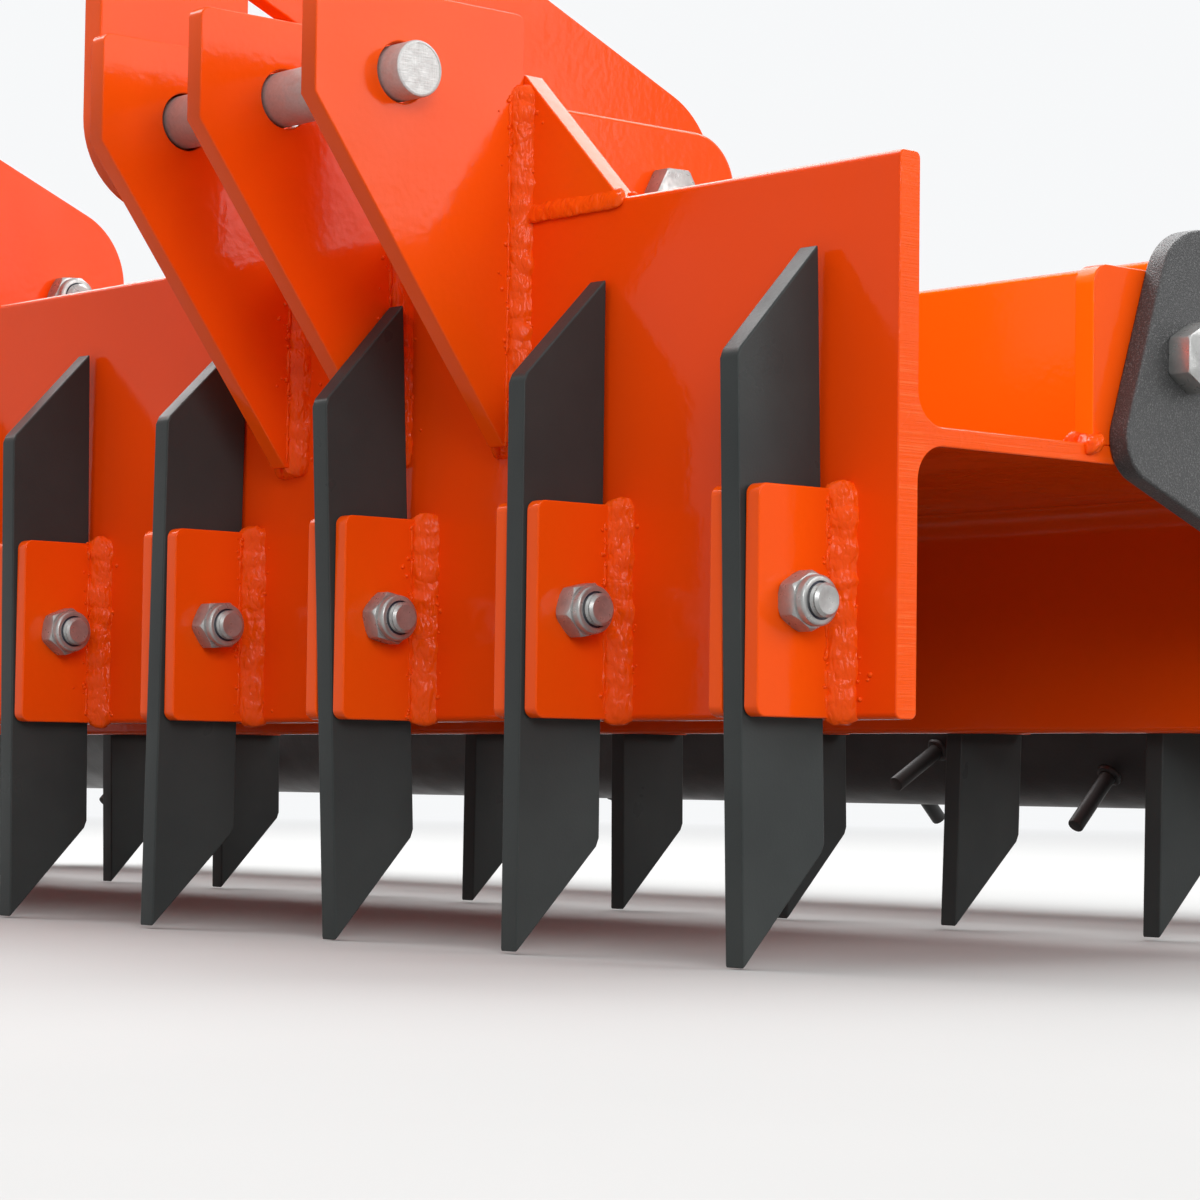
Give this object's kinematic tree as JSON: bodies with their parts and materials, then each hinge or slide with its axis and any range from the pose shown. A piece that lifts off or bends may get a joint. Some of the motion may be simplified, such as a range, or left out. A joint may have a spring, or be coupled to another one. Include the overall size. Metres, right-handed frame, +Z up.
{
  "type": "three-point hitch soil pulverizer",
  "caption": "Tractor-mounted soil pulverizer: H-section beam with rows of reversible teeth, hitch lugs, mast and a spiked roller on arms behind.",
  "frame": {"origin": "on the ground under the middle of the overall box", "axes": "+X along the beam to the machine's left, +Y rearwards from the tractor to the roller, +Z up"},
  "size_m": [1.357, 0.669, 0.8343],
  "materials": {
    "orange_paint": "gloss powder coat",
    "tooth_steel": "satin dark coating",
    "arm_paint": "fine-textured dark paint",
    "roller_steel": "satin dark paint",
    "pin_steel": "bright turned steel",
    "zinc": "zinc plate",
    "bearing_iron": "painted casting"
  },
  "bodies": {
    "frame": {"arm_bolts": "zinc", "bearing_bolts": "zinc", "brace_bolts": "zinc", "end_lug_left": "orange_paint", "end_lug_right": "orange_paint", "front_tooth_01": "tooth_steel", "front_tooth_02": "tooth_steel", "front_tooth_03": "tooth_steel", "front_tooth_04": "tooth_steel", "front_tooth_05": "tooth_steel", "front_tooth_06": "tooth_steel", "front_tooth_07": "tooth_steel", "front_tooth_08": "tooth_steel", "front_tooth_09": "tooth_steel", "front_tooth_10": "tooth_steel", "front_tooth_11": "tooth_steel", "front_tooth_bolts": "zinc", "front_tooth_plates": "orange_paint", "hitch_gusset_left": "orange_paint", "hitch_gusset_right": "orange_paint", "hitch_lug_left_inner": "orange_paint", "hitch_lug_left_middle": "orange_paint", "hitch_lug_left_outer": "orange_paint", "hitch_lug_right_inner": "orange_paint", "hitch_lug_right_middle": "orange_paint", "hitch_lug_right_outer": "orange_paint", "hitch_pin_left": "pin_steel", "hitch_pin_right": "pin_steel", "main_beam": "orange_paint", "mast_brace_left": "orange_paint", "mast_brace_right": "orange_paint", "mast_leg_left": "orange_paint", "mast_leg_right": "orange_paint", "mast_tie": "orange_paint", "rear_bracket_left": "orange_paint", "rear_bracket_right": "orange_paint", "rear_tooth_01": "tooth_steel", "rear_tooth_02": "tooth_steel", "rear_tooth_03": "tooth_steel", "rear_tooth_04": "tooth_steel", "rear_tooth_05": "tooth_steel", "rear_tooth_06": "tooth_steel", "rear_tooth_07": "tooth_steel", "rear_tooth_08": "tooth_steel", "rear_tooth_09": "tooth_steel", "rear_tooth_10": "tooth_steel", "rear_tooth_bolts": "zinc", "rear_tooth_plates": "orange_paint", "roller_arm_left": "arm_paint", "roller_arm_right": "arm_paint", "roller_bearing_left": "bearing_iron", "roller_bearing_right": "bearing_iron"},
    "roller": {"roller": "roller_steel"}
  },
  "joints": [
    {"name": "roller_spin", "type": "hinge", "parent": "frame", "child": "roller", "pos_m": [0, 0.2405, 0.11177], "axis": [1, 0, 0], "continuous": true}
  ]
}
